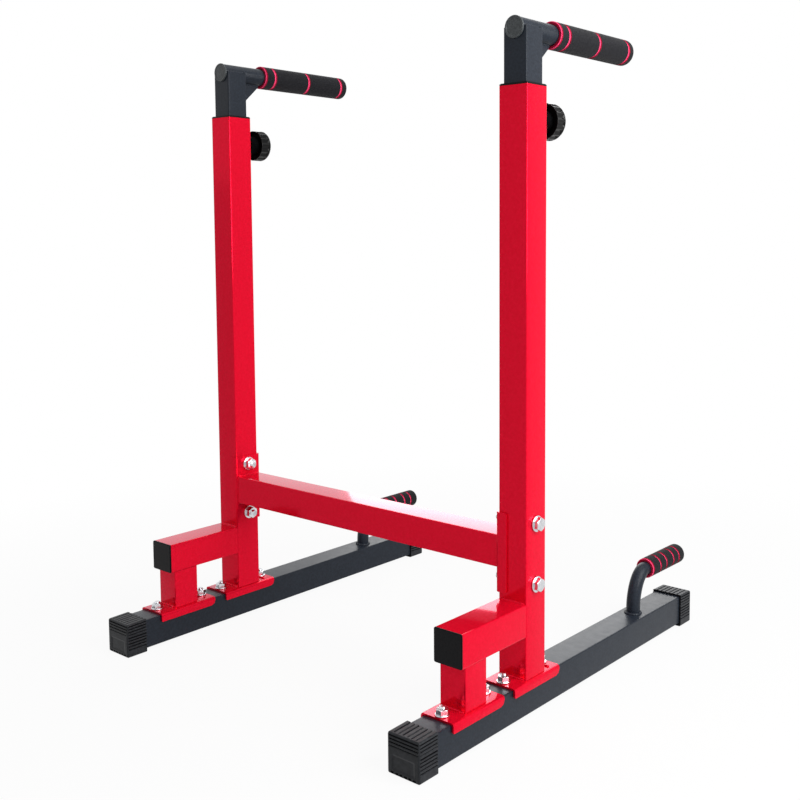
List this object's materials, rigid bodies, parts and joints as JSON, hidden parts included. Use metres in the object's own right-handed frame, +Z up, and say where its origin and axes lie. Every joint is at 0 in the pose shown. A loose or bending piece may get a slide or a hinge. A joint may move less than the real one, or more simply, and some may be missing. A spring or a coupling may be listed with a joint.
{
  "type": "dip station",
  "caption": "Free-standing dip station: square-tube stations joined by a crossbar, height-adjustable foam handles with screw locks, low push-up bars and ribbed rubber feet.",
  "frame": {"origin": "bottom centre of the whole object, on the floor midway between the stations", "axes": "+Z up; +X across, from the left station to the right one; +Y to the rear, where the handles and push-up bars point"},
  "size_m": [0.7526, 0.793, 1.0686],
  "materials": {
    "red_paint": "gloss powder coat, deep red, slightly orange-peeled",
    "grey_paint": "satin powder coat, charcoal grey",
    "plug_plastic": "matt moulded black plastic",
    "knob_plastic": "glossy moulded black plastic",
    "foot_rubber": "ribbed black rubber",
    "zinc_steel": "bright zinc plating",
    "grip_foam": "dark closed-cell foam with red rings"
  },
  "bodies": {
    "frame": {"crossbar_tube": "red_paint", "left_base_tube": "grey_paint", "left_front_foot_cap": "foot_rubber", "left_rear_foot_cap": "foot_rubber", "left_front_saddle": "red_paint", "left_front_saddle_front_bolt": "zinc_steel", "left_front_saddle_rear_bolt": "zinc_steel", "left_upright_saddle": "red_paint", "left_upright_saddle_front_bolt": "zinc_steel", "left_upright_saddle_rear_bolt": "zinc_steel", "left_upright_tube": "red_paint", "left_front_post": "red_paint", "left_brace_tube": "red_paint", "left_brace_end_plug": "plug_plastic", "left_crossbar_bracket": "red_paint", "left_lower_cross_bolt": "zinc_steel", "left_lower_cross_nut": "zinc_steel", "left_upper_cross_bolt": "zinc_steel", "left_upper_cross_nut": "zinc_steel", "left_upright_collar": "plug_plastic", "left_push_up_bar": "grey_paint", "left_push_up_grip": "grip_foam", "right_base_tube": "grey_paint", "right_front_foot_cap": "foot_rubber", "right_rear_foot_cap": "foot_rubber", "right_front_saddle": "red_paint", "right_front_saddle_front_bolt": "zinc_steel", "right_front_saddle_rear_bolt": "zinc_steel", "right_upright_saddle": "red_paint", "right_upright_saddle_front_bolt": "zinc_steel", "right_upright_saddle_rear_bolt": "zinc_steel", "right_upright_tube": "red_paint", "right_front_post": "red_paint", "right_brace_tube": "red_paint", "right_brace_end_plug": "plug_plastic", "right_crossbar_bracket": "red_paint", "right_lower_cross_bolt": "zinc_steel", "right_lower_cross_nut": "zinc_steel", "right_upper_cross_bolt": "zinc_steel", "right_upper_cross_nut": "zinc_steel", "right_upright_collar": "plug_plastic", "right_push_up_bar": "grey_paint", "right_push_up_grip": "grip_foam"},
    "left_handle": {"left_handle_post": "grey_paint", "left_post_glide": "plug_plastic", "left_handle_bar": "grey_paint", "left_handle_bar_plug": "plug_plastic", "left_handle_gusset": "grey_paint", "left_handle_grip": "grip_foam"},
    "left_lock_screw": {"left_lock_screw": "zinc_steel"},
    "left_knob": {"left_lock_knob": "knob_plastic"},
    "right_handle": {"right_handle_post": "grey_paint", "right_post_glide": "plug_plastic", "right_handle_bar": "grey_paint", "right_handle_bar_plug": "plug_plastic", "right_handle_gusset": "grey_paint", "right_handle_grip": "grip_foam"},
    "right_lock_screw": {"right_lock_screw": "zinc_steel"},
    "right_knob": {"right_lock_knob": "knob_plastic"}
  },
  "joints": [
    {"name": "left_handle_height", "type": "slide", "parent": "frame", "child": "left_handle", "axis": [0, 0, 1], "range_m": [0, 0.15]},
    {"name": "left_lock_travel", "type": "slide", "parent": "frame", "child": "left_lock_screw", "axis": [0, 1, 0], "range_m": [-0.0081, 0.0061]},
    {"name": "left_knob_turn", "type": "hinge", "parent": "left_lock_screw", "child": "left_knob", "pos_m": [-0.34, -0.0605, 0.9148], "axis": [0, 1, 0], "range_deg": [-1440, 1080]},
    {"name": "right_handle_height", "type": "slide", "parent": "frame", "child": "right_handle", "axis": [0, 0, 1], "range_m": [0, 0.15]},
    {"name": "right_lock_travel", "type": "slide", "parent": "frame", "child": "right_lock_screw", "axis": [0, 1, 0], "range_m": [-0.0081, 0.0061]},
    {"name": "right_knob_turn", "type": "hinge", "parent": "right_lock_screw", "child": "right_knob", "pos_m": [0.34, -0.0605, 0.9148], "axis": [0, 1, 0], "range_deg": [-1440, 1080]}
  ],
  "couplings": [
    {"joint": "left_lock_travel", "follows": "left_knob_turn", "m_per_rad": 0.00031831},
    {"joint": "right_lock_travel", "follows": "right_knob_turn", "m_per_rad": 0.00031831}
  ]
}
